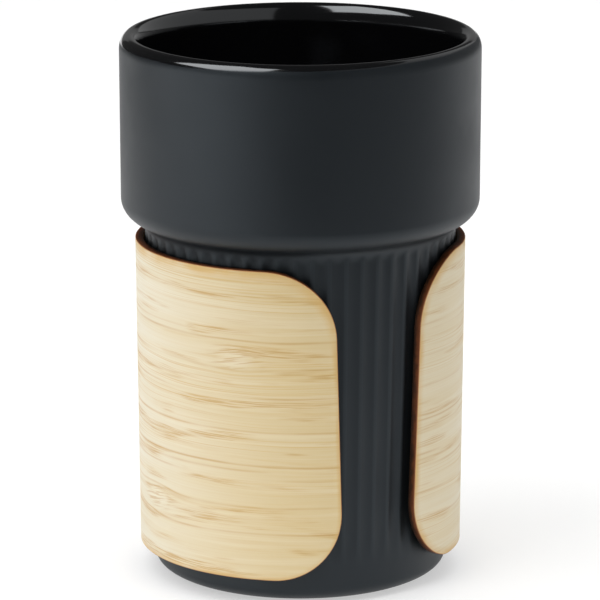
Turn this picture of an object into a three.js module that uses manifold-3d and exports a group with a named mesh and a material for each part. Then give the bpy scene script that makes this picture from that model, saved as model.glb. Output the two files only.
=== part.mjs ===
// An open ceramic tumbler: a smooth band above, a fluted body below, and a bent bamboo sleeve.
// Units are millimetres, +Z is up, and the origin is the centre of the foot on the table.
// The open front of the sleeve faces -Y.

import * as THREE from 'three';
import { mergeVertices } from 'three/addons/utils/BufferGeometryUtils.js';
import Module from 'manifold-3d';

// Band and rim of the cup
const CUP_HEIGHT = 128;
const BAND_RADIUS = 42;
const BAND_DRAFT = 0.15; // the band is this much slimmer at its lower end
const BAND_UNDERSIDE = 84.1; // height of the shoulder under the band
const BAND_EDGE_HEIGHT = 5.5; // the round under the band starts this far above the shoulder
const BAND_EDGE_START = -72; // degrees on that round where the neck runs into it
const NECK_TUCK = 0.7; // the round aims this far inside the body, so it meets the neck level
const NECK_HEIGHT = 1; // height of the small hollow between body and shoulder
const RIM_WALL = 4.8;
const RIM_OUTER_WIDTH = 2.4; // the rim's outer round, from its crest out to the band
const RIM_OUTER_HEIGHT = 3.4;
const RIM_INNER_HEIGHT = 6.5; // height of the steeper round on the inner side of the rim

// Fluted body
const BODY_TOP_RADIUS = 36.35; // over the ridges, under the shoulder
const BODY_FOOT_RADIUS = 34.2; // over the ridges, above the rounded base
const BODY_WALL = 4.6; // from the ridges to the inside
const FLUTE_COUNT = 58;
const FLUTE_DEPTH = 0.4;
const FLUTE_WIDTH = 3;
const FLUTE_TOP_MARGIN = 2.6; // smooth strip between the flutes and the shoulder
const FLUTE_FOOT = 7.5; // height of the flutes' lower ends

// Inside, floor and foot
const INNER_STEP_TOP = 9.5; // the step inside starts this far above the shoulder
const INNER_STEP_DROP = 0.5; // and ends this far below it
const FLOOR_THICKNESS = 5;
const FLOOR_FILLET = 8;
const FOOT_RADIUS = 26.2;
const FOOT_RING_WIDTH = 3.6;
const FOOT_RECESS = 1.5; // hollow inside the foot ring
const BASE_ROUND_HEIGHT = 3.9; // height of the round from the foot up to the body

// Bamboo sleeve, a rectangular sheet with round corners
const SLEEVE_THICKNESS = 2;
const SLEEVE_HEIGHT = 73.2;
const SLEEVE_GAP = 20.2; // open front, along the middle of the sheet at half height
const SLEEVE_CORNER = 16;
const SLEEVE_SHOULDER_GAP = 4; // from the sleeve up to the shoulder
const SLEEVE_TOP_CLEARANCE = 0.3; // from the ridges to the sleeve at its upper edge
const SLEEVE_FOOT_CLEARANCE = 1.5; // and at its lower edge, as the sheet tapers less than the cup

// How finely the curves are divided
const ARC_STEPS = 3;
const CUTTER_CAP_STEPS = 3;
const CUTTER_SIDES = 12;
const SLEEVE_COLUMNS = 52;
const SLEEVE_CORNER_STEPS = 6;

const wasm = await Module();
wasm.setup();

// Radius over the flute ridges at a height on the body.
function bodyRadius(height) {
  const taperTop = BAND_UNDERSIDE - NECK_HEIGHT;
  const share = (height - BASE_ROUND_HEIGHT) / (taperTop - BASE_ROUND_HEIGHT);
  return THREE.MathUtils.lerp(BODY_FOOT_RADIUS, BODY_TOP_RADIUS, share);
}

// Position-only geometry whose shared corners are one vertex and whose triangles all have area.
function closedGeometry(geometry) {
  geometry.deleteAttribute('normal');
  geometry.deleteAttribute('uv');
  const merged = mergeVertices(geometry);
  const index = merged.index.array;
  const kept = [];
  for (let i = 0; i < index.length; i += 3) {
    const [a, b, c] = index.slice(i, i + 3);
    if (a !== b && b !== c && c !== a) kept.push(a, b, c);
  }
  merged.setIndex(kept);
  return merged;
}

function toSolid(geometry) {
  const closed = closedGeometry(geometry);
  const vertProperties = new Float32Array(closed.attributes.position.array);
  const triVerts = new Uint32Array(closed.index.array);
  return new wasm.Manifold(new wasm.Mesh({ numProp: 3, vertProperties, triVerts }));
}

function toGeometry(solid) {
  const mesh = solid.getMesh();
  const geometry = new THREE.BufferGeometry();
  geometry.setAttribute('position', new THREE.BufferAttribute(mesh.vertProperties, 3));
  geometry.setIndex(new THREE.BufferAttribute(mesh.triVerts, 1));
  geometry.computeVertexNormals();
  return geometry;
}

// Half section of the cup, x its radius and y its height, from under the foot round to the floor.
function cupProfile() {
  const footInner = FOOT_RADIUS - FOOT_RING_WIDTH;
  const baseRoundWidth = BODY_FOOT_RADIUS - FOOT_RADIUS;
  const bandFoot = BAND_RADIUS - BAND_DRAFT;
  const edgeWidth = bandFoot - BODY_TOP_RADIUS + NECK_TUCK;
  const edgeX = bandFoot - edgeWidth;
  const edgeY = BAND_UNDERSIDE + BAND_EDGE_HEIGHT;
  const edgeStart = THREE.MathUtils.degToRad(BAND_EDGE_START);
  const neckX = edgeX + edgeWidth * Math.cos(edgeStart);
  const neckY = edgeY + BAND_EDGE_HEIGHT * Math.sin(edgeStart);
  const crestX = BAND_RADIUS - RIM_OUTER_WIDTH;
  const rimFoot = CUP_HEIGHT - RIM_OUTER_HEIGHT;
  const rimInnerFoot = CUP_HEIGHT - RIM_INNER_HEIGHT;
  const rimInnerWidth = RIM_WALL - RIM_OUTER_WIDTH;
  const innerBand = BAND_RADIUS - RIM_WALL;
  const innerTop = BODY_TOP_RADIUS - BODY_WALL;
  const innerFoot = BODY_FOOT_RADIUS - BODY_WALL;
  const stepTop = BAND_UNDERSIDE + INNER_STEP_TOP;
  const stepFoot = BAND_UNDERSIDE - INNER_STEP_DROP;
  const stepMiddle = (stepTop + stepFoot) / 2;
  const floor = FOOT_RECESS + FLOOR_THICKNESS;

  const path = new THREE.Path();
  path.moveTo(0, FOOT_RECESS);
  path.lineTo(footInner - FOOT_RECESS, FOOT_RECESS);
  path.lineTo(footInner, 0);
  path.lineTo(FOOT_RADIUS, 0);
  path.absellipse(FOOT_RADIUS, BASE_ROUND_HEIGHT, baseRoundWidth, BASE_ROUND_HEIGHT, -Math.PI / 2, 0);
  path.lineTo(BODY_TOP_RADIUS, BAND_UNDERSIDE - NECK_HEIGHT);
  path.quadraticCurveTo(BODY_TOP_RADIUS, BAND_UNDERSIDE, neckX, neckY);
  path.absellipse(edgeX, edgeY, edgeWidth, BAND_EDGE_HEIGHT, edgeStart, 0);
  path.lineTo(BAND_RADIUS, rimFoot);
  path.absellipse(crestX, rimFoot, RIM_OUTER_WIDTH, RIM_OUTER_HEIGHT, 0, Math.PI / 2);
  path.absellipse(crestX, rimInnerFoot, rimInnerWidth, RIM_INNER_HEIGHT, Math.PI / 2, Math.PI);
  path.lineTo(innerBand, stepTop);
  path.bezierCurveTo(innerBand, stepMiddle, innerTop, stepMiddle, innerTop, stepFoot);
  path.lineTo(innerFoot, floor + FLOOR_FILLET);
  path.absarc(innerFoot - FLOOR_FILLET, floor + FLOOR_FILLET, FLOOR_FILLET, 0, -Math.PI / 2, true);
  path.lineTo(0, floor);
  return path.getPoints(ARC_STEPS);
}

// Round-ended cutter for the flute at an angle from -Y, leaning with the body's taper.
function fluteCutter(angle) {
  const radius = (FLUTE_WIDTH ** 2 / 4 + FLUTE_DEPTH ** 2) / (2 * FLUTE_DEPTH);
  const standOff = radius - FLUTE_DEPTH;
  const lowHeight = FLUTE_FOOT + FLUTE_WIDTH / 2;
  const highHeight = BAND_UNDERSIDE - FLUTE_TOP_MARGIN - FLUTE_WIDTH / 2;
  const outward = new THREE.Vector3(Math.sin(angle), -Math.cos(angle), 0);
  const low = outward.clone().multiplyScalar(bodyRadius(lowHeight) + standOff).setZ(lowHeight);
  const high = outward.clone().multiplyScalar(bodyRadius(highHeight) + standOff).setZ(highHeight);
  const length = high.distanceTo(low);
  const along = high.clone().sub(low).normalize();
  const sideways = new THREE.Vector3().crossVectors(outward, along).normalize();
  const across = new THREE.Vector3().crossVectors(along, sideways);
  const turn = new THREE.Matrix4().makeBasis(across, along, sideways);
  const place = new THREE.Matrix4().setPosition(low.add(high).multiplyScalar(0.5));
  const capsule = new THREE.CapsuleGeometry(radius, length, CUTTER_CAP_STEPS, CUTTER_SIDES);
  return toSolid(capsule.applyMatrix4(place.multiply(turn)));
}

// One fired piece: band, rim, fluted body, floor and foot ring. A ridge faces -Y.
function ceramicCup() {
  const turned = new THREE.LatheGeometry(cupProfile(), FLUTE_COUNT).rotateX(Math.PI / 2);
  const pitch = 2 * Math.PI / FLUTE_COUNT;
  let cup = toSolid(turned);
  for (let flute = 0; flute < FLUTE_COUNT; flute += 1) {
    cup = cup.subtract(fluteCutter((flute + 0.5) * pitch));
  }
  const glaze = new THREE.MeshStandardMaterial({ color: 0x33373a, roughness: 0.45, metalness: 0 });
  const mesh = new THREE.Mesh(toGeometry(cup), glaze);
  mesh.name = 'ceramic_cup';
  return mesh;
}

// Rows of the flat sheet from its lower edge up, and how far the round corners draw the ends in.
function sheetRows() {
  const lower = [];
  for (let step = 0; step <= SLEEVE_CORNER_STEPS; step += 1) {
    const turn = step / SLEEVE_CORNER_STEPS * Math.PI / 2;
    const height = SLEEVE_CORNER * (1 - Math.cos(turn));
    const inset = SLEEVE_CORNER * (1 - Math.sin(turn));
    lower.push({ height, inset });
  }
  const upper = lower.map((row) => ({ height: SLEEVE_HEIGHT - row.height, inset: row.inset }));
  return [...lower, ...upper.reverse()];
}

// The sheet is made flat as a unit box, then each point is moved to its row and rolled round the cup.
function bambooSleeve() {
  const top = BAND_UNDERSIDE - SLEEVE_SHOULDER_GAP;
  const foot = top - SLEEVE_HEIGHT;
  const topRadius = bodyRadius(top) + SLEEVE_TOP_CLEARANCE + SLEEVE_THICKNESS / 2;
  const footRadius = bodyRadius(foot) + SLEEVE_FOOT_CLEARANCE + SLEEVE_THICKNESS / 2;
  const sheetLength = Math.PI * (topRadius + footRadius) - SLEEVE_GAP;
  const rows = sheetRows();
  const rowSteps = rows.length - 1;
  const flat = closedGeometry(new THREE.BoxGeometry(1, 1, 1, SLEEVE_COLUMNS, 1, rowSteps));
  const position = flat.attributes.position;
  for (let i = 0; i < position.count; i += 1) {
    const row = rows[Math.round((position.getZ(i) + 0.5) * rowSteps)];
    const middle = THREE.MathUtils.lerp(footRadius, topRadius, row.height / SLEEVE_HEIGHT);
    const angle = position.getX(i) * (sheetLength - 2 * row.inset) / middle;
    const radius = middle + position.getY(i) * SLEEVE_THICKNESS;
    position.setXYZ(i, radius * Math.sin(angle), radius * Math.cos(angle), foot + row.height);
  }
  flat.computeVertexNormals();
  const bamboo = new THREE.MeshStandardMaterial({ color: 0xe0cda6, roughness: 0.6, metalness: 0 });
  const mesh = new THREE.Mesh(flat, bamboo);
  mesh.name = 'bamboo_sleeve';
  return mesh;
}

const tumbler = new THREE.Group();
tumbler.add(bambooSleeve());
tumbler.add(ceramicCup());

export default tumbler;
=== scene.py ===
"""Looks of a ceramic tumbler in a bent bamboo sleeve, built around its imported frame.

Meshes and patterns are worked out in millimetres and turned into metres as each piece is made.
"""

import math
from typing import NamedTuple

import bpy
import numpy as np
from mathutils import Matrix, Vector


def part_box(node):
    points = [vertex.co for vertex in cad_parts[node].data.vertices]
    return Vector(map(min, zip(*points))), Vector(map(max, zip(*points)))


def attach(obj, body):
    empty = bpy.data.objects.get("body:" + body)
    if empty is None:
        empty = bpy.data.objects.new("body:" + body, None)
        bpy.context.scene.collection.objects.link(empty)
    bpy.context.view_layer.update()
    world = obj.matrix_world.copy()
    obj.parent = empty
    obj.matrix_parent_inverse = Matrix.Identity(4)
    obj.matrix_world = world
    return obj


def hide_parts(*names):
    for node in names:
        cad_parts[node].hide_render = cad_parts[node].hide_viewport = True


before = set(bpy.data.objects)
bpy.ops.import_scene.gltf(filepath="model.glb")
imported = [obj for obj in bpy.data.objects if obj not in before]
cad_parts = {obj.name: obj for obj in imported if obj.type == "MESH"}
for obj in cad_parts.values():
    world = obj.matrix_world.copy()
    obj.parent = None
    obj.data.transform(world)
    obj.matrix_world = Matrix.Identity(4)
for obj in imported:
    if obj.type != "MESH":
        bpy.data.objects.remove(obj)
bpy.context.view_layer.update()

MM = 0.001

# Cup, with the sizes of the solid that its mesh replaces
CUP_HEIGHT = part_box("ceramic_cup")[1].z / MM
BAND_RADIUS = 42
BAND_DRAFT = 0.15  # the band is this much slimmer at its lower end
BAND_UNDERSIDE = 84.1  # height of the shoulder under the band
BAND_EDGE_HEIGHT = 5.5  # the round under the band starts this far above the shoulder
NECK_TUCK = 0.7  # that round aims this far inside the body
NECK_HEIGHT = 1  # the body's taper ends this far below the shoulder
RIM_WALL = 4.8
RIM_OUTER_WIDTH = 2.4  # from the rim's crest out to the band
RIM_OUTER_HEIGHT = 3.4
BODY_TOP_RADIUS = 36.35  # over the ridges, under the shoulder
BODY_FOOT_RADIUS = 34.2  # over the ridges, above the rounded base
BODY_WALL = 4.6
INNER_STEP_TOP = 9.5  # the step inside starts this far above the shoulder
INNER_STEP_DROP = 0.5  # and ends this far below it
FLOOR_THICKNESS = 5
FLOOR_FILLET = 8
FOOT_RADIUS = 26.2
FOOT_RING_WIDTH = 3.6
FOOT_RECESS = 1.5  # hollow inside the foot ring
BASE_ROUND_HEIGHT = 3.9
FLUTE_COUNT = 58
FLUTE_WIDTH = 3
FLUTE_FOOT = 7.5  # height of the flutes' lower ends

# Cup, where its glaze softens the solid's forms
BAND_EDGE_START = -58  # degrees on the round under the band where the neck runs into it
NECK_ROUND = 2.0  # height of the glaze pooled under the band, clear of the sleeve when the cup sits down
RIM_INNER_HEIGHT = 5.0  # height of the steeper round on the inner side of the rim
FOOT_EDGE = 0.5  # round on the inner edge of the foot ring
FLUTE_DEPTH = 0.3
FLUTE_TOP_MARGIN = 0.8  # smooth strip between the flutes and the shoulder
FLUTE_FOOT_FADE = 9  # the flutes shallow out over this height at their lower ends
FLUTE_TOP_FADE = 2.2  # and over this height at their upper ends
FLUTE_SOFTNESS = 0.06  # how far the glaze rounds the ridges

# Steps of the cup's mesh along its half section and round its axis
RECESS_STEPS = 3
RECESS_EDGE_STEPS = 5
FOOT_EDGE_STEPS = 4
BASE_ROUND_STEPS = 16
BELOW_FLUTES_STEPS = 4
FLUTE_FOOT_LEAD = 0.3  # the close rings start this far below the flutes
FLUTE_FOOT_STEPS = 18
FLUTE_MIDDLE_STEPS = 10
FLUTE_TOP_STEPS = 6
NECK_STEPS = 12
BAND_EDGE_STEPS = 16
BAND_STEPS = 8
RIM_STEPS = 20
INNER_BAND_STEPS = 5
INNER_CURVE_STEPS = 12
INNER_BODY_STEPS = 6
FLOOR_FILLET_STEPS = 10
FLOOR_STEPS = 3
FLOOR_RING_SHARES = (0.75, 0.25)  # of the flat floor's radius, between which its rings lie
COLUMNS_PER_FLUTE = 9

# Bamboo sheet
SLEEVE_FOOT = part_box("bamboo_sleeve")[0].z / MM
SLEEVE_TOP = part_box("bamboo_sleeve")[1].z / MM
SLEEVE_HEIGHT = SLEEVE_TOP - SLEEVE_FOOT
SLEEVE_THICKNESS = 2
SLEEVE_GAP = 20.2
SLEEVE_CORNER = 16
SLEEVE_TOP_CLEARANCE = 0.3
SLEEVE_FOOT_CLEARANCE = 1.5
SLEEVE_ARRIS = 0.3  # round on the edges of the cut sheet
SLEEVE_COLUMNS = 300
SLEEVE_CORNER_ROWS = 20
SLEEVE_MIDDLE_ROWS = 36
SLEEVE_ARRIS_STEPS = 4
SLEEVE_WALL_SHARES = (0.35, 0.5, 0.65)  # of the thickness, where the cut face has loops

# Camera, from its fit to the outlines in the photograph
VIEW_AZIMUTH = math.radians(-29.2)
VIEW_PITCH = math.radians(13.833)
VIEW_DISTANCE = 1101.49
VIEW_TARGET_HEIGHT = 64.29
VIEW_TARGET_LEFT = 0.08
VIEW_LENS = 281.75
SENSOR_WIDTH = 36
VIEW_REACH = 100  # metres, beyond the whole floor


def srgb(red, green, blue):
    """Linear colour of an 8-bit sRGB one, with full alpha."""
    shares = [value / 255 for value in (red, green, blue)]
    linear = [s / 12.92 if s <= 0.04045 else ((s + 0.055) / 1.055) ** 2.4 for s in shares]
    return (*linear, 1.0)


def from_view(right, away, up):
    """World vector from one along the photograph's right, away and up directions."""
    turned = Vector((right, away, up))
    far_side = Vector((-math.sin(VIEW_AZIMUTH), math.cos(VIEW_AZIMUTH), 0))
    turned.rotate(Vector((0, 1, 0)).rotation_difference(far_side))
    return turned


# Mesh helpers

def ellipse(centre, radii, start, end, steps):
    """Points of an elliptic arc in the half section, angles in degrees, both ends included."""
    turns = np.radians(np.linspace(start, end, steps + 1))
    return [(centre[0] + radii[0] * math.cos(t), centre[1] + radii[1] * math.sin(t)) for t in turns]


def bezier(points, steps):
    """Points of a Bezier curve of any degree, both ends included."""
    shares = np.linspace(0, 1, steps + 1)
    degree = len(points) - 1
    curve = np.zeros((steps + 1, 2))
    for i, point in enumerate(points):
        weight = math.comb(degree, i) * shares ** i * (1 - shares) ** (degree - i)
        curve += weight[:, None] * np.array(point, float)
    return [tuple(p) for p in curve]


def line(start, end, steps):
    """Evenly spaced points of a straight stretch, its last point left to what follows."""
    return [tuple(p) for p in np.linspace(start, end, steps + 1)[:-1]]


def make_piece(name, vertices, faces, attributes):
    """Smooth mesh object from millimetre vertices, with named values on its vertices."""
    mesh = bpy.data.meshes.new(name)
    mesh.from_pydata((np.asarray(vertices) * MM).tolist(), [], faces)
    for label, values in attributes.items():
        values = np.asarray(values, np.float32)
        if values.ndim == 1:
            mesh.attributes.new(label, "FLOAT", "POINT").data.foreach_set("value", values)
        else:
            mesh.attributes.new(label, "FLOAT_VECTOR", "POINT").data.foreach_set("vector", values.ravel())
    mesh.polygons.foreach_set("use_smooth", np.ones(len(mesh.polygons), bool))
    mesh.validate()
    piece = bpy.data.objects.new(name, mesh)
    bpy.context.scene.collection.objects.link(piece)
    return piece


# Cup

def body_radius(height):
    """Radius over the flute ridges at a height on the body."""
    share = (height - BASE_ROUND_HEIGHT) / (BAND_UNDERSIDE - NECK_HEIGHT - BASE_ROUND_HEIGHT)
    return BODY_FOOT_RADIUS + (BODY_TOP_RADIUS - BODY_FOOT_RADIUS) * share


def flute_ends():
    """Heights of the centres of the flutes' round ends."""
    return FLUTE_FOOT + FLUTE_WIDTH / 2, BAND_UNDERSIDE - FLUTE_TOP_MARGIN - FLUTE_WIDTH / 2


def body_heights():
    """Heights of the rings on the body: close together at the flutes' ends, wide apart between."""
    foot = FLUTE_FOOT - FLUTE_FOOT_LEAD
    foot_full = FLUTE_FOOT + FLUTE_FOOT_FADE
    neck = BAND_UNDERSIDE - NECK_ROUND
    top_full = neck - FLUTE_TOP_FADE
    return np.concatenate([
        np.linspace(BASE_ROUND_HEIGHT, foot, BELOW_FLUTES_STEPS, endpoint=False),
        np.linspace(foot, foot_full, FLUTE_FOOT_STEPS, endpoint=False),
        np.linspace(foot_full, top_full, FLUTE_MIDDLE_STEPS, endpoint=False),
        np.linspace(top_full, neck, FLUTE_TOP_STEPS, endpoint=False),
    ])


def foot_section():
    """Half section of the underside, foot ring and rounded base, from the axis out to the body."""
    ring_inside = FOOT_RADIUS - FOOT_RING_WIDTH
    recess_edge = ring_inside - FOOT_RECESS
    recess_end = (recess_edge - FOOT_RECESS, FOOT_RECESS)
    base_radii = (BODY_FOOT_RADIUS - FOOT_RADIUS, BASE_ROUND_HEIGHT)
    edge_centre = (ring_inside + FOOT_EDGE, FOOT_EDGE)
    edge = ellipse(edge_centre, (FOOT_EDGE, FOOT_EDGE), 180, 270, FOOT_EDGE_STEPS)

    points = [(0, FOOT_RECESS)]
    points += line((recess_edge / RECESS_STEPS, FOOT_RECESS), recess_end, RECESS_STEPS)
    points += bezier([recess_end, (recess_edge, FOOT_RECESS), (ring_inside, FOOT_EDGE)], RECESS_EDGE_STEPS)
    points += edge[1:]
    points += ellipse((FOOT_RADIUS, BASE_ROUND_HEIGHT), base_radii, -90, 0, BASE_ROUND_STEPS)[:-1]
    return points


def outer_section():
    """Half section of the body, neck, band and outer round of the rim, up to its crest."""
    band_foot = BAND_RADIUS - BAND_DRAFT
    edge_width = band_foot - BODY_TOP_RADIUS + NECK_TUCK
    edge_centre = (band_foot - edge_width, BAND_UNDERSIDE + BAND_EDGE_HEIGHT)
    edge = ellipse(edge_centre, (edge_width, BAND_EDGE_HEIGHT), BAND_EDGE_START, 0, BAND_EDGE_STEPS)
    neck_foot = BAND_UNDERSIDE - NECK_ROUND
    neck = [(body_radius(neck_foot), neck_foot), (BODY_TOP_RADIUS, BAND_UNDERSIDE), edge[0]]
    rim_centre = (BAND_RADIUS - RIM_OUTER_WIDTH, CUP_HEIGHT - RIM_OUTER_HEIGHT)
    rim = ellipse(rim_centre, (RIM_OUTER_WIDTH, RIM_OUTER_HEIGHT), 0, 90, RIM_STEPS)

    points = [(body_radius(height), height) for height in body_heights()]
    points += bezier(neck, NECK_STEPS)[:-1]
    points += edge[:-1]
    points += line(edge[-1], rim[0], BAND_STEPS)
    points += rim
    return points


def inner_section():
    """Half section from inside the rim's crest down the stepped wall and over the floor to the axis."""
    rim_centre = (BAND_RADIUS - RIM_OUTER_WIDTH, CUP_HEIGHT - RIM_INNER_HEIGHT)
    rim_radii = (RIM_WALL - RIM_OUTER_WIDTH, RIM_INNER_HEIGHT)
    rim = ellipse(rim_centre, rim_radii, 90, 180, RIM_STEPS)
    band_inside = BAND_RADIUS - RIM_WALL
    top_inside = BODY_TOP_RADIUS - BODY_WALL
    foot_inside = BODY_FOOT_RADIUS - BODY_WALL
    step_top = BAND_UNDERSIDE + INNER_STEP_TOP
    step_foot = BAND_UNDERSIDE - INNER_STEP_DROP
    step_middle = (step_top + step_foot) / 2
    step = [
        (band_inside, step_top),
        (band_inside, step_middle),
        (top_inside, step_middle),
        (top_inside, step_foot),
    ]
    floor = FOOT_RECESS + FLOOR_THICKNESS
    flat_radius = foot_inside - FLOOR_FILLET
    fillet_centre = (flat_radius, floor + FLOOR_FILLET)
    fillet = ellipse(fillet_centre, (FLOOR_FILLET, FLOOR_FILLET), 0, -90, FLOOR_FILLET_STEPS)
    first_ring, last_ring = [(flat_radius * share, floor) for share in FLOOR_RING_SHARES]

    points = rim[1:-1]
    points += line(rim[-1], step[0], INNER_BAND_STEPS)
    points += bezier(step, INNER_CURVE_STEPS)[:-1]
    points += line(step[-1], (foot_inside, fillet_centre[1]), INNER_BODY_STEPS)
    points += fillet
    points += line(first_ring, last_ring, FLOOR_STEPS)
    points += [(0, floor)]
    return points


def cup_profile():
    """Half section from the middle of the underside to the middle of the floor, and the crest's index."""
    outside = foot_section() + outer_section()
    return np.array(outside + inner_section()), len(outside) - 1


def flute_fade(height):
    """Share of their depth that the flutes have at heights, shallowing out at both ends."""
    from_foot = (height - FLUTE_FOOT) / FLUTE_FOOT_FADE
    from_top = (BAND_UNDERSIDE - FLUTE_TOP_MARGIN - height) / FLUTE_TOP_FADE
    fade = np.clip(np.minimum(from_foot, from_top), 0, 1)
    return fade * fade * (3 - 2 * fade)


def flute_cut(angle, radius, height):
    """Depth of the round-ended flutes at points given by arrays of angle, radius and height."""
    cutter = (FLUTE_WIDTH ** 2 / 4 + FLUTE_DEPTH ** 2) / (2 * FLUTE_DEPTH)
    pitch = 2 * math.pi / FLUTE_COUNT
    low, high = flute_ends()
    across = (np.mod(angle, pitch) - pitch / 2) * radius
    beyond = np.maximum(np.maximum(low - height, height - high), 0)
    under = np.sqrt(np.maximum(cutter ** 2 - across ** 2 - beyond ** 2, 0))
    cut = np.where(across ** 2 + beyond ** 2 < cutter ** 2, under - (cutter - FLUTE_DEPTH), -FLUTE_DEPTH)
    return (cut + np.sqrt(cut ** 2 + FLUTE_SOFTNESS ** 2)) / 2 * flute_fade(height)


def lathe_faces(rings, columns):
    """Quads between rings of a turned mesh, with a fan at both ends; the two axis vertices come last."""
    ring, column = np.meshgrid(np.arange(rings - 1), np.arange(columns), indexing="ij")
    beside = (column + 1) % columns
    corners = (ring, column), (ring, beside), (ring + 1, beside), (ring + 1, column)
    quads = np.stack([r * columns + c for r, c in corners], -1).reshape(-1, 4).tolist()
    under, floor = rings * columns, rings * columns + 1
    last = (rings - 1) * columns
    fans = []
    for c in range(columns):
        after = (c + 1) % columns
        fans.append((under, after, c))
        fans.append((floor, last + c, last + after))
    return quads + fans


def make_cup():
    """Turned cup with flutes; its vertices keep the way from the crest, the flutes and the bare foot."""
    profile, crest = cup_profile()
    steps = np.hypot(*np.diff(profile, axis=0).T)
    length = np.concatenate([[0], np.cumsum(steps)])
    past_crest = length - length[crest]
    columns = FLUTE_COUNT * COLUMNS_PER_FLUTE
    angles = np.arange(columns) * 2 * math.pi / columns
    rings = profile[1:-1]
    radius = np.repeat(rings[:, :1], columns, axis=1)
    height = np.repeat(rings[:, 1:], columns, axis=1)
    on_body = (past_crest[1:-1] < 0) & (rings[:, 0] > FOOT_RADIUS) & (rings[:, 1] < BAND_UNDERSIDE)
    cut = np.where(on_body[:, None], flute_cut(angles[None, :], radius, height), 0)
    radius = radius - cut
    points = np.stack([radius * np.sin(angles), -radius * np.cos(angles), height], -1).reshape(-1, 3)
    axis_points = [(0, 0, profile[0, 1]), (0, 0, profile[-1, 1])]
    lip = np.append(np.repeat(past_crest[1:-1], columns), past_crest[[0, -1]])
    bare = (rings[:, 1] < FOOT_EDGE / 2) & (past_crest[1:-1] < 0)
    attributes = {
        "past_crest": lip,
        "flute": np.append(cut.ravel() / FLUTE_DEPTH, [0, 0]),
        "fluted": np.append(np.repeat(flute_fade(rings[:, 1]) * on_body, columns), [0, 0]),
        "bare": np.append(np.repeat(bare.astype(float), columns), [0, 0]),
    }
    faces = lathe_faces(len(rings), columns)
    return make_piece("cup", np.vstack([points, axis_points]), faces, attributes)


# Bamboo sleeve

def sheet_rows(corner, height):
    """Heights of a round-cornered sheet's rows, the inset of their ends, and the ends' outward normals."""
    turn = np.radians(np.linspace(0, 90, SLEEVE_CORNER_ROWS + 1))
    rise = corner * (1 - np.cos(turn))
    inset = corner * (1 - np.sin(turn))
    low = np.stack([rise, inset, np.sin(turn), -np.cos(turn)], 1)
    top = low[::-1] * (1, 1, 1, -1)
    top[:, 0] = height - top[:, 0]
    between = np.linspace(corner, height - corner, SLEEVE_MIDDLE_ROWS + 1)[1:-1]
    middle = np.stack([between, 0 * between, 0 * between + 1, 0 * between], 1)
    return np.vstack([low, middle, top])


def sheet_grid(length):
    """Flat grid of the sheet inside its rounded edges: places (along, up) and the rim's outward normals."""
    flat_corner = SLEEVE_CORNER - SLEEVE_ARRIS
    flat_height = SLEEVE_HEIGHT - 2 * SLEEVE_ARRIS
    rows = sheet_rows(flat_corner, flat_height)
    half = length / 2 - SLEEVE_ARRIS - rows[:, 1]
    share = np.linspace(-1, 1, SLEEVE_COLUMNS + 1)
    along = half[:, None] * share[None, :]
    up = np.repeat(rows[:, :1] + SLEEVE_ARRIS, SLEEVE_COLUMNS + 1, axis=1)
    return np.stack([along, up], -1), rows[:, 2:]


def rim_order(rows, columns):
    """Indices of the grid's outer vertices in order round the sheet."""
    index = np.arange(rows * columns).reshape(rows, columns)
    foot = list(index[0, :-1])
    right = list(index[:-1, -1])
    top = list(index[-1, :0:-1])
    left = list(index[:0:-1, 0])
    return foot + right + top + left


def rim_normals(row_normals, columns):
    """Outward normals in the sheet's plane for the outer vertices, in the same order."""
    down, up = np.array([0, -1.0]), np.array([0, 1.0])
    mirrored = row_normals * (-1, 1)
    return np.vstack([
        np.repeat(down[None], columns - 1, axis=0),
        row_normals[:-1],
        np.repeat(up[None], columns - 1, axis=0),
        mirrored[:0:-1],
    ])


def middle_radii():
    """Radii of the middle of the sheet at its lower and upper edges."""
    foot = body_radius(SLEEVE_FOOT) + SLEEVE_FOOT_CLEARANCE + SLEEVE_THICKNESS / 2
    top = body_radius(SLEEVE_TOP) + SLEEVE_TOP_CLEARANCE + SLEEVE_THICKNESS / 2
    return foot, top


def rolled(places, depth):
    """Points of the rolled sheet: places along and up the flat sheet, depth below its outer face."""
    foot_radius, top_radius = middle_radii()
    along, up = places[:, 0], places[:, 1]
    middle = foot_radius + (top_radius - foot_radius) * up / SLEEVE_HEIGHT
    radius = middle + SLEEVE_THICKNESS / 2 - depth
    angle = along / middle
    return np.stack([radius * np.sin(angle), radius * np.cos(angle), SLEEVE_FOOT + up], -1)


def sheet_length():
    """Length of the flat sheet along its middle, at half height."""
    return math.pi * sum(middle_radii()) - SLEEVE_GAP


def edge_distance(places, length):
    """Distance in the sheet's plane from places to the round-cornered outline."""
    from_middle = np.abs(places - (0, SLEEVE_HEIGHT / 2))
    past = from_middle - (length / 2 - SLEEVE_CORNER, SLEEVE_HEIGHT / 2 - SLEEVE_CORNER)
    outside = np.hypot(*np.maximum(past, 0).T)
    return SLEEVE_CORNER - outside - np.minimum(past.max(1), 0)


def edge_loops():
    """Loops round the sheet's edge from its outer to its inner face, as distance out and depth."""
    turns = np.radians(np.linspace(0, 90, SLEEVE_ARRIS_STEPS + 1))[1:]
    outer = [(SLEEVE_ARRIS * math.sin(t), SLEEVE_ARRIS * (1 - math.cos(t))) for t in turns]
    wall = [(SLEEVE_ARRIS, SLEEVE_THICKNESS * share) for share in SLEEVE_WALL_SHARES]
    inner = [(out, SLEEVE_THICKNESS - deep) for out, deep in reversed(outer)]
    return outer + wall + inner


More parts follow.
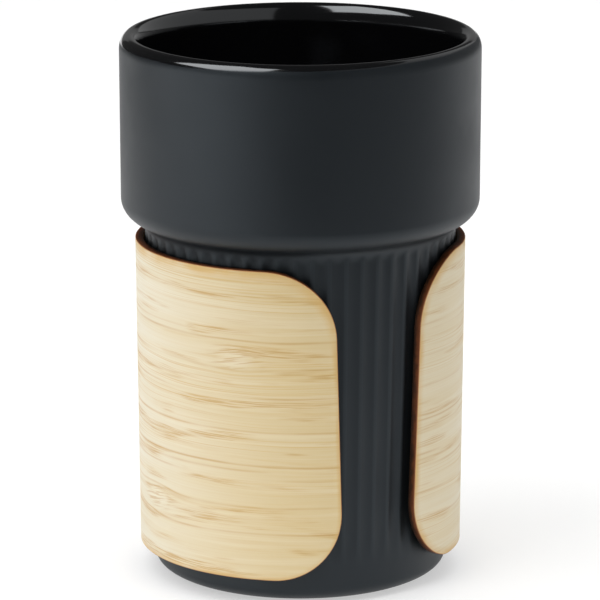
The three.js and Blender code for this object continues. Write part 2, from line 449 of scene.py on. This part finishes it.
def sheet_faces(rows, columns, rim, loop_count):
    """Faces of the outer side, the inner side and the edge between, for vertices in that order of loops."""
    count = rows * columns
    index = np.arange(count).reshape(rows, columns)
    quads = np.stack([index[:-1, :-1], index[:-1, 1:], index[1:, 1:], index[1:, :-1]], -1).reshape(-1, 4)
    back = count + loop_count * len(rim)
    faces = quads[:, ::-1].tolist() + (quads + back).tolist()
    loops = [count + i * len(rim) + np.arange(len(rim)) for i in range(loop_count)]
    chain = [rim] + loops + [rim + back]
    for near, far in zip(chain[:-1], chain[1:]):
        faces += np.stack([near, np.roll(near, -1), np.roll(far, -1), far], -1).tolist()
    return faces


def make_sleeve():
    """Rolled sheet with eased edges; its vertices keep their flat place, edge distance and cut face."""
    length = sheet_length()
    grid, row_normals = sheet_grid(length)
    rows, columns = grid.shape[:2]
    face_places = grid.reshape(-1, 2)
    count = len(face_places)
    rim = np.array(rim_order(rows, columns))
    normals = rim_normals(row_normals, columns)
    loops = edge_loops()

    places = [face_places]
    depths = [np.zeros(count)]
    cuts = [np.zeros(count)]
    for out, deep in loops:
        places.append(face_places[rim] + normals * out)
        depths.append(np.full(len(rim), deep))
        cuts.append(np.full(len(rim), out / SLEEVE_ARRIS))
    places.append(face_places)
    depths.append(np.full(count, float(SLEEVE_THICKNESS)))
    cuts.append(np.zeros(count))
    places, depths, cuts = np.vstack(places), np.concatenate(depths), np.concatenate(cuts)

    attributes = {
        "sheet": np.column_stack([places, depths]),
        "edge": np.maximum(edge_distance(places, length), 0),
        "cut": cuts,
    }
    faces = sheet_faces(rows, columns, rim, len(loops))
    return make_piece("sleeve", rolled(places, depths), faces, attributes)


# Material helpers

class Shader:
    """A material's node tree, with short calls for the nodes used here."""

    def __init__(self, name):
        self.material = bpy.data.materials.new(name)
        self.material.use_nodes = True
        self.tree = self.material.node_tree
        self.surface = self.tree.nodes["Principled BSDF"]

    def put(self, socket, value):
        """Link a node's output to the socket, or set the socket to a plain value."""
        if isinstance(value, bpy.types.NodeSocket):
            self.tree.links.new(value, socket)
        else:
            socket.default_value = value

    def put_surface(self, **values):
        """Set inputs of the surface, named with underscores for their spaces."""
        for label, value in values.items():
            self.put(self.surface.inputs[label.replace("_", " ")], value)

    def add(self, kind, inputs, **settings):
        """New node with its settings and inputs."""
        node = self.tree.nodes.new(kind)
        for key, value in settings.items():
            setattr(node, key, value)
        for key, value in inputs.items():
            self.put(node.inputs[key], value)
        return node

    def maths(self, operation, first, second=0.0):
        return self.add("ShaderNodeMath", {0: first, 1: second}, operation=operation).outputs[0]

    def product(self, first, *others):
        """Product of two or more values."""
        for other in others:
            first = self.maths("MULTIPLY", first, other)
        return first

    def bell(self, square):
        """1 where the square of an offset is 0, falling softly as it grows."""
        return self.maths("EXPONENT", self.maths("MULTIPLY", square, -1.0))

    def remap(self, value, low, high, to_low=0.0, to_high=1.0):
        """Value carried smoothly from one range to another, and held at its ends."""
        ends = {"Value": value, "From Min": low, "From Max": high, "To Min": to_low, "To Max": to_high}
        return self.add("ShaderNodeMapRange", ends, interpolation_type="SMOOTHSTEP").outputs[0]

    def spread(self, noise, reach):
        """Noise carried to the range of plus and minus the reach."""
        return self.remap(noise, 0, 1, -reach, reach)

    def mix(self, share, first, second):
        """Colour between two, at a share of the way."""
        return self.add("ShaderNodeMix", {0: share, 6: first, 7: second}, data_type="RGBA").outputs[2]

    def between(self, share, first, second):
        """Plain value between two, at a share of the way."""
        return self.add("ShaderNodeMix", {0: share, 2: first, 3: second}).outputs[0]

    def tint(self, ground, colour, *shares):
        """Ground with a colour mixed in, by the product of the shares."""
        return self.mix(self.product(*shares), ground, colour)

    def noise(self, vector, scale, detail=2.0):
        node = self.add("ShaderNodeTexNoise", {"Vector": vector, "Scale": scale, "Detail": detail})
        return node.outputs[0]

    def attribute(self, name, output="Fac"):
        return self.add("ShaderNodeAttribute", {}, attribute_name=name).outputs[output]

    def place(self):
        """Place on the object, in metres."""
        return self.add("ShaderNodeTexCoord", {}).outputs["Object"]

    def vector(self, x, y, z):
        return self.add("ShaderNodeCombineXYZ", {0: x, 1: y, 2: z}).outputs[0]

    def parts(self, vector):
        return self.add("ShaderNodeSeparateXYZ", {0: vector}).outputs

    def bump(self, height, depth):
        inputs = {"Height": height, "Distance": depth * MM, "Strength": 1.0}
        return self.add("ShaderNodeBump", inputs).outputs[0]


# Glaze of the cup

SATIN = srgb(11, 14, 17)
SATIN_THIN_AND_SHEEN = srgb(24, 28, 31)  # where the glaze thins, and painted highlight where ridges catch light
GLOSS_BLACK = srgb(7, 7, 8)
BARE_CLAY = srgb(150, 140, 126)
GLAZE_TINT = (0.8, 0.91, 1.0, 1.0)  # cool cast of what the satin mirrors
GLAZE_INDEX = 1.5
SATIN_ROUGHNESS = 0.47
SATIN_ROUGHNESS_SPREAD = 0.03
GLOSS_ROUGHNESS = 0.08  # of the glaze under the clear gloss
CLAY_ROUGHNESS = 0.85
COAT_ROUGHNESS = 0.11
COAT_INDEX = 1.8
GLOSS_EDGE = 2.1  # from the crest along the section to where gloss ends on the outer round
GLOSS_EDGE_LEAN = 0.02  # it ends lower towards the left of the photograph, by this share
GLOSS_EDGE_WANDER = 0.35
GLOSS_EDGE_WANDER_SCALE = 45
GLOSS_EDGE_FADE = (-0.4, 0.25)
CLOUD_SCALE = 60  # of the soft clouds in the satin
CLOUD_THINS = (0.35, 0.7)  # cloud values between which the glaze grows thinner
CLOUD_THINNING = 0.12
CLOUD_ROUGHENS = (0.3, 0.7)  # cloud values between which it grows rougher
RIDGE_SHEEN_FADE = (0.3, 0.05)  # share of a flute's depth where its ridge's thinner glaze and painted highlight start, and where they are full
SPECK_SCALE = 1400
SPECK_DEPTH = 0.006


def gloss_share(shader, place):
    """1 inside and over the rim, ending in a leaning and wandering line on its outer round."""
    past_crest = shader.attribute("past_crest")
    left = from_view(-GLOSS_EDGE_LEAN / MM, 0, 0)
    lean = shader.add("ShaderNodeVectorMath", {0: place, 1: left}, operation="DOT_PRODUCT").outputs["Value"]
    wander = shader.spread(shader.noise(place, GLOSS_EDGE_WANDER_SCALE, detail=1.0), GLOSS_EDGE_WANDER)
    edge = shader.maths("ADD", shader.maths("ADD", lean, wander), GLOSS_EDGE)
    return shader.remap(shader.maths("ADD", past_crest, edge), *GLOSS_EDGE_FADE)


def glaze_material():
    """Satin charcoal outside, gloss black inside and over the rim, bare clay under the foot ring."""
    shader = Shader("charcoal_glaze")
    place = shader.place()
    gloss = gloss_share(shader, place)
    bare = shader.attribute("bare")

    clouds = shader.noise(place, CLOUD_SCALE, detail=3.0)
    # Ridges paler: partly thinner glaze, partly a painted highlight of the ridges catching light
    ridge_sheen = shader.product(shader.remap(shader.attribute("flute"), *RIDGE_SHEEN_FADE), shader.attribute("fluted"))
    thin_and_sheen = shader.maths("ADD", ridge_sheen, shader.remap(clouds, *CLOUD_THINS, 0.0, CLOUD_THINNING))
    satin = shader.mix(thin_and_sheen, SATIN, SATIN_THIN_AND_SHEEN)
    colour = shader.mix(gloss, satin, GLOSS_BLACK)
    colour = shader.mix(bare, colour, BARE_CLAY)

    smoothest = SATIN_ROUGHNESS - SATIN_ROUGHNESS_SPREAD
    roughest = SATIN_ROUGHNESS + SATIN_ROUGHNESS_SPREAD
    rough = shader.remap(clouds, *CLOUD_ROUGHENS, smoothest, roughest)
    rough = shader.between(gloss, rough, GLOSS_ROUGHNESS)
    rough = shader.between(bare, rough, CLAY_ROUGHNESS)

    specks = shader.product(shader.noise(place, SPECK_SCALE), shader.maths("SUBTRACT", 1.0, gloss))
    shader.put_surface(
        Base_Color=colour,
        Roughness=rough,
        Normal=shader.bump(specks, SPECK_DEPTH),
        IOR=GLAZE_INDEX,
        Specular_Tint=GLAZE_TINT,
        Coat_Weight=gloss,
        Coat_Roughness=COAT_ROUGHNESS,
        Coat_IOR=COAT_INDEX,
    )
    return shader.material


# Bamboo of the sleeve

class Grain(NamedTuple):
    """One kind of streak: its size on the sheet, and the noise's seed and values where it fades in."""

    length: float
    thickness: float
    seed: float
    low: float
    high: float
    share: float = 1.0  # of its colour, where it is strongest


CREAM = srgb(238, 231, 211)
CREAM_WARM = srgb(224, 203, 157)
CREAM_PALE = srgb(244, 236, 215)
STREAK = srgb(214, 178, 106)
DASH = srgb(199, 155, 82)
TOAST = srgb(218, 181, 115)
ARRIS = srgb(206, 152, 96)
SCORCH = srgb(110, 58, 27)
# painted shade of the cut face towards the inner face, over its scorch
SCORCH_SHADED = srgb(44, 24, 10)
BAMBOO_ROUGHNESS = (0.5, 0.62)  # between the fibres and on them
BAMBOO_SPECULAR = 0.35

# Tone along the sheet, places measured from the middle of its length
WARM_END = (-45, -102)  # where its tone grows warmer towards one end
WARM_START = (60, 100)  # and, less so, towards the other
WARM_START_SHARE = 0.4
CALM_END = (30, 90)  # where the grain grows calmer towards that other end
CALM_SHARE = 0.75

# Grain, from broad bands to short dashes
BANDS = Grain(120, 4.5, seed=1.3, low=0.3, high=0.7, share=0.3)
WISPS = Grain(45, 1.6, seed=3.4, low=0.45, high=0.7, share=0.22)
GLOWS = Grain(24, 1.5, seed=13.8, low=0.56, high=0.76, share=0.2)
FIBRES = Grain(30, 0.24, seed=2.7, low=0.35, high=0.75, share=0.13)
LINES = Grain(50, 0.3, seed=4.1, low=0.5, high=0.68, share=0.55)
LINE_GROUPS = Grain(80, 6.0, seed=7.7, low=0.45, high=0.62)
DASHES = Grain(10, 0.24, seed=5.9, low=0.45, high=0.6, share=0.66)
DASH_GROUPS = Grain(26, 3.4, seed=9.2, low=0.52, high=0.66, share=0.2)
LONG_LINES = (58.2, 56.8, 50.6, 43.5, 35.2, 26.9, 25.6, 23.8, 17.6, 11.2)  # heights on the sheet
LONG_LINE_WIDTH = 0.24
LONG_LINE_BREAKS = Grain(22, 1.0, seed=20.5, low=0.3, high=0.65, share=0.62)
WANDER_SIZE = (70, 20)  # length and height of the swells in the grain's course
WANDER_RISE = 1.0
RIPPLE_SIZE = (16, 3)
RIPPLE_RISE = 0.08
FACE_SHIFT = 7  # seed per millimetre of depth, so that the inner face has a course of its own
FIBRE_GROOVE = 0.4  # depth of the fibres beside that of the lines
GROOVE_DEPTH = 0.003

# Marks of the nodes, which the grain parts round
NODE_MARKS = ((-83.3, 52.5), (-58, 15.5), (-30, 38), (12, 20), (40, 58), (74, 34))
MARK_REACH = (6.5, 2.6)
MARK_BEND = 0.7
MARK_PALE = (0.5, 0.95)  # nearness where a mark starts to pale, and where it is palest
MARK_PALE_SHARE = 0.3
MARK_DASHED = (0.1, 0.6)  # nearness where its short dashes start, and where they are strongest
MARK_DASHES = Grain(7, 0.42, seed=11.6, low=0.5, high=0.64, share=0.5)
MARK_DASH_SLANT = 0.16

# Toasting along the cut, and scorching on it with painted shade towards the inner face
TOAST_RISE = (45, 70)  # heights between which the toasting along the cut grows deeper
TOAST_REACH = (1.3, 3.4)  # how deep it is below and above
TOAST_END_REACH = 2.2  # how deep it is at least at the calmer end
TOAST_FADE = (1.0, 0.15)  # share of its reach where it starts, and where it is full
TOAST_SHARE = 0.9
TOAST_PATCH = 9.0  # size of the patches where it is stronger
TOAST_PATCH_SEED = 3.0
TOAST_PATCH_FADE = (0.3, 0.65)
TOAST_PATCH_LEAST = 0.35  # share left between the patches
ARRIS_FADE = (0.05, 0.35)  # share of the way round the eased edge
SCORCH_FADE = (0.5, 0.9)
CHAR_PATCH = 2.0
CHAR_WANDER = 0.6
CHAR_SHADE_DEPTH = (0.2, 1.6)  # below the outer face, where the scorch on the cut grows darker with painted shade towards the inner face


def parted(shader, along, level):
    """Grain level bent round the node marks, and how near each point is to a mark."""
    nearness = 0.0
    for mark_along, mark_up in NODE_MARKS:
        sideways = shader.maths("DIVIDE", shader.maths("SUBTRACT", along, mark_along), MARK_REACH[0])
        offset = shader.maths("SUBTRACT", level, mark_up)
        upwards = shader.maths("DIVIDE", offset, MARK_REACH[1])
        sideways_square = shader.maths("POWER", sideways, 2.0)
        upwards_square = shader.maths("POWER", upwards, 2.0)
        near = shader.bell(shader.maths("ADD", sideways_square, upwards_square))
        level = shader.maths("SUBTRACT", level, shader.product(offset, near, MARK_BEND))
        nearness = shader.maths("ADD", nearness, near)
    return level, nearness


def blotches(shader, along, up, length, height, seed):
    """Noise stretched to about that length and height on the sheet."""
    first = shader.maths("DIVIDE", along, length)
    second = shader.maths("DIVIDE", up, height)
    return shader.noise(shader.vector(first, second, seed), 1.0)


def streaks(shader, along, level, grain):
    """Streaks of one kind of grain, 1 in a streak and 0 between."""
    noise = blotches(shader, along, level, grain.length, grain.thickness, grain.seed)
    return shader.remap(noise, grain.low, grain.high)


def long_lines(shader, along, level):
    """Lines right along the sheet at a few heights, fading in and out."""
    total = 0.0
    for number, height in enumerate(LONG_LINES):
        offset = shader.maths("DIVIDE", shader.maths("SUBTRACT", level, height), LONG_LINE_WIDTH)
        line_share = shader.bell(shader.maths("POWER", offset, 2.0))
        breaks = LONG_LINE_BREAKS._replace(seed=LONG_LINE_BREAKS.seed + number)
        fade = streaks(shader, along, height, breaks)
        total = shader.maths("ADD", total, shader.product(line_share, fade))
    return total


def grain_course(shader, along, up, depth):
    """Height on the sheet as the grain runs, wandering and parted, and how near a node mark is."""
    face = shader.maths("MULTIPLY", depth, FACE_SHIFT)
    wander = shader.spread(blotches(shader, along, up, *WANDER_SIZE, face), WANDER_RISE)
    ripple = shader.spread(blotches(shader, along, up, *RIPPLE_SIZE, face), RIPPLE_RISE)
    level = shader.maths("ADD", shader.maths("ADD", up, wander), ripple)
    return parted(shader, along, level)


def warm_ground(shader, along):
    """Cream of the sheet, warmer towards its ends."""
    towards_end = shader.remap(along, *WARM_END)
    towards_start = shader.remap(along, *WARM_START, 0.0, WARM_START_SHARE)
    return shader.mix(shader.maths("ADD", towards_end, towards_start), CREAM, CREAM_WARM)


def marked(shader, ground, along, up, nearness, calm):
    """Ground paler at the node marks, with short slanting dashes over them."""
    pale = shader.remap(nearness, *MARK_PALE, 0.0, MARK_PALE_SHARE)
    ground = shader.mix(pale, ground, CREAM_PALE)
    slant = shader.maths("ADD", up, shader.maths("MULTIPLY", along, MARK_DASH_SLANT))
    dashes = streaks(shader, along, slant, MARK_DASHES)
    near_mark = shader.remap(nearness, *MARK_DASHED, 0.0, MARK_DASHES.share)
    return shader.tint(ground, DASH, dashes, near_mark, calm)


def toasted(shader, ground, along, up, depth):
    """Ground toasted along the cut, golden on its eased edge, and burnt on the cut face with painted shade
    deepening towards the inner face.
    """
    cut = shader.attribute("cut")
    on_height = shader.remap(up, *TOAST_RISE, *TOAST_REACH)
    at_end = shader.remap(along, *CALM_END, 0.0, TOAST_END_REACH)
    inward = shader.maths("DIVIDE", shader.attribute("edge"), shader.maths("MAXIMUM", on_height, at_end))
    patches = blotches(shader, along, up, TOAST_PATCH, TOAST_PATCH, TOAST_PATCH_SEED)
    patches = shader.remap(patches, *TOAST_PATCH_FADE, TOAST_PATCH_LEAST, 1.0)
    toast = shader.remap(inward, *TOAST_FADE, 0.0, TOAST_SHARE)
    ground = shader.tint(ground, TOAST, toast, patches)
    ground = shader.mix(shader.remap(cut, *ARRIS_FADE), ground, ARRIS)
    char = shader.spread(blotches(shader, along, up, CHAR_PATCH, CHAR_PATCH, depth), CHAR_WANDER)
    shade_depth = shader.maths("ADD", depth, char)
    # Darker towards the inner face: painted shade over the scorch
    scorched_and_shaded = shader.mix(shader.remap(shade_depth, *CHAR_SHADE_DEPTH), SCORCH, SCORCH_SHADED)
    return shader.mix(shader.remap(cut, *SCORCH_FADE), ground, scorched_and_shaded)


def bamboo_material():
    """Pale bamboo with its grain along the sheet, toasted and burnt where it was cut, with painted shade on
    the cut face.
    """
    shader = Shader("bamboo")
    along, up, depth = shader.parts(shader.attribute("sheet", "Vector"))
    level, nearness = grain_course(shader, along, up, depth)
    calm = shader.remap(along, *CALM_END, 1.0, CALM_SHARE)

    def grain(kind):
        return streaks(shader, along, level, kind)

    fibres = grain(FIBRES)
    dash_groups = grain(DASH_GROUPS)
    lines = shader.product(grain(LINES), grain(LINE_GROUPS), calm, LINES.share)
    ground = warm_ground(shader, along)
    ground = shader.tint(ground, CREAM_WARM, grain(BANDS), BANDS.share)
    ground = shader.tint(ground, CREAM_PALE, grain(WISPS), WISPS.share)
    ground = shader.tint(ground, STREAK, grain(GLOWS), calm, GLOWS.share)
    ground = shader.tint(ground, STREAK, dash_groups, calm, DASH_GROUPS.share)
    ground = shader.tint(ground, STREAK, fibres, FIBRES.share)
    ground = shader.mix(lines, ground, STREAK)
    ground = shader.tint(ground, DASH, grain(DASHES), dash_groups, calm, DASHES.share)
    ground = shader.tint(ground, DASH, long_lines(shader, along, level), calm, LONG_LINE_BREAKS.share)
    ground = marked(shader, ground, along, up, nearness, calm)

    grooves = shader.maths("ADD", shader.maths("MULTIPLY", fibres, FIBRE_GROOVE), lines)
    shader.put_surface(
        Base_Color=toasted(shader, ground, along, up, depth),
        Roughness=shader.remap(fibres, 0.0, 1.0, *BAMBOO_ROUGHNESS),
        Normal=shader.bump(shader.maths("SUBTRACT", 1.0, grooves), GROOVE_DEPTH),
        Specular_IOR_Level=BAMBOO_SPECULAR,
    )
    return shader.material


# Studio, in metres

WHITE = (1.0, 1.0, 1.0, 1.0)
FLOOR_RADIUS = 6.0
FLOOR_SIDES = 96
FLOOR_GREY = (0.2, 0.2, 0.2, 1.0)
FLOOR_GLOW = 0.5  # share of plain white in how the floor is seen
FLOOR_FADE = (0.05, 0.42)  # in front of the object, where what it mirrors of the floor darkens
WORLD_STRENGTH = 0.035
LAMP_POWER = 4  # of a square metre of lamp, for a radiance of 1
WALL_DISTANCE = 1.1
CARD_HEIGHTS = (0.02, 0.185)  # of the low cards, which are mirrored and don't light
FILL_DISTANCE = 1.3  # clear of the walls, since lamps in one place hide each other
FILL_HEIGHTS = (0.5, 1.5)
TOP_FILL_HEIGHT = 2.0
TOP_FILL_WIDTH = 3.0
LEFT_SIDE = (-95, -26)  # degrees round the object from the view, negative to the left


def make_camera():
    """Camera of the photograph, level from side to side."""
    data = bpy.data.cameras.new("camera")
    data.lens = VIEW_LENS
    data.sensor_width = SENSOR_WIDTH
    data.clip_end = VIEW_REACH
    camera = bpy.data.objects.new("camera", data)
    level = VIEW_DISTANCE * math.cos(VIEW_PITCH)
    rise = VIEW_DISTANCE * math.sin(VIEW_PITCH)
    camera.location = from_view(-VIEW_TARGET_LEFT, -level, VIEW_TARGET_HEIGHT + rise) * MM
    camera.rotation_euler = (math.pi / 2 - VIEW_PITCH, 0, VIEW_AZIMUTH)
    bpy.context.scene.collection.objects.link(camera)
    bpy.context.scene.camera = camera


def floor_material():
    """White floor with the object's shadow; what the object mirrors of it darkens towards the front."""
    shader = Shader("floor")
    front = shader.maths("MULTIPLY", shader.parts(shader.place())[1], -1.0)
    rays = shader.add("ShaderNodeLightPath", {}).outputs
    faded = shader.mix(shader.remap(front, *FLOOR_FADE), WHITE, FLOOR_GREY)
    colour = shader.mix(rays["Is Camera Ray"], faded, WHITE)
    shader.put_surface(Base_Color=colour, Roughness=1.0, Specular_IOR_Level=0.0)
    seen = shader.maths("MAXIMUM", rays["Is Camera Ray"], rays["Is Glossy Ray"])
    seen = shader.maths("MAXIMUM", seen, rays["Is Transmission Ray"])
    glow = shader.add("ShaderNodeEmission", {"Color": colour, "Strength": 1.0}).outputs[0]
    share = shader.maths("MULTIPLY", seen, FLOOR_GLOW)
    mixed = shader.add("ShaderNodeMixShader", {0: share, 1: shader.surface.outputs[0], 2: glow}).outputs[0]
    shader.put(shader.tree.nodes["Material Output"].inputs["Surface"], mixed)
    return shader.material


def make_floor():
    """Wide round floor under the object."""
    turns = np.linspace(0, 2 * math.pi, FLOOR_SIDES + 1)[:-1]
    ring = [(FLOOR_RADIUS * math.cos(t), FLOOR_RADIUS * math.sin(t), 0) for t in turns]
    mesh = bpy.data.meshes.new("floor")
    mesh.from_pydata(ring, [], [list(range(FLOOR_SIDES))])
    mesh.materials.append(floor_material())
    floor = bpy.data.objects.new("floor", mesh)
    bpy.context.scene.collection.objects.link(floor)


def panel(name, place, facing, width, height, radiance, lights=True, mirrored=True):
    """Rectangular lamp that lights the object, is mirrored by it, or both."""
    data = bpy.data.lights.new(name, "AREA")
    data.shape = "RECTANGLE"
    data.size = width
    data.size_y = height
    data.energy = radiance * LAMP_POWER * width * height
    lamp = bpy.data.objects.new(name, data)
    lamp.location = place
    lamp.rotation_mode = "QUATERNION"
    lamp.rotation_quaternion = facing.to_track_quat("-Z", "Y")
    lamp.visible_diffuse = lights
    lamp.visible_glossy = mirrored
    bpy.context.scene.collection.objects.link(lamp)


def curved_wall(name, sides, heights, radiance, panels=1, distance=WALL_DISTANCE, **uses):
    """Upright panels next to each other round the object, between two sides and two heights."""
    first, last = sides
    low, high = heights
    span = math.radians(last - first) / panels
    width = 2 * distance * math.tan(span / 2)
    for number in range(panels):
        turn = math.radians(first) + (number + 0.5) * span
        outward = from_view(math.sin(turn), -math.cos(turn), 0)
        place = outward * distance + Vector((0, 0, (low + high) / 2))
        panel(f"{name}_{number}", place, -outward, width, high - low, radiance, **uses)


def make_lights():
    """Walls that light and are mirrored, cards and a backdrop only mirrored, and fills that only light."""
    curved_wall("key", LEFT_SIDE, (0.82, 3.4), radiance=2.1, panels=2)
    curved_wall("left_card", LEFT_SIDE, CARD_HEIGHTS, radiance=3.0, panels=2, lights=False)
    curved_wall("right_wall", (20, 158), (0.23, 1.65), radiance=0.2, panels=5)
    curved_wall("right_card", (20, 120), CARD_HEIGHTS, radiance=0.7, panels=3, lights=False)
    curved_wall("backdrop", (158, 202), (0.06, 0.44), radiance=0.08, lights=False)
    fill = {"heights": FILL_HEIGHTS, "distance": FILL_DISTANCE, "mirrored": False}
    curved_wall("front_fill", (-80, -10), radiance=0.74, **fill)
    curved_wall("right_fill", (35, 80), radiance=0.6, **fill)
    above = Vector((0, 0, TOP_FILL_HEIGHT))
    down = Vector((0, 0, -1))
    panel("top_fill", above, down, TOP_FILL_WIDTH, TOP_FILL_WIDTH, radiance=1.42, mirrored=False)


def make_world():
    """Faint even white all round."""
    world = bpy.data.worlds.new("studio")
    world.use_nodes = True
    background = world.node_tree.nodes["Background"]
    background.inputs["Color"].default_value = WHITE
    background.inputs["Strength"].default_value = WORLD_STRENGTH
    bpy.context.scene.world = world


# The object and its scene

bpy.context.scene.view_settings.view_transform = "Standard"
make_camera()

cup = make_cup()
cup.data.materials.append(glaze_material())
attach(cup, "cup")
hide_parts("ceramic_cup")

sleeve = make_sleeve()
sleeve.data.materials.append(bamboo_material())
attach(sleeve, "sleeve")
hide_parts("bamboo_sleeve")

make_floor()
make_lights()
make_world()
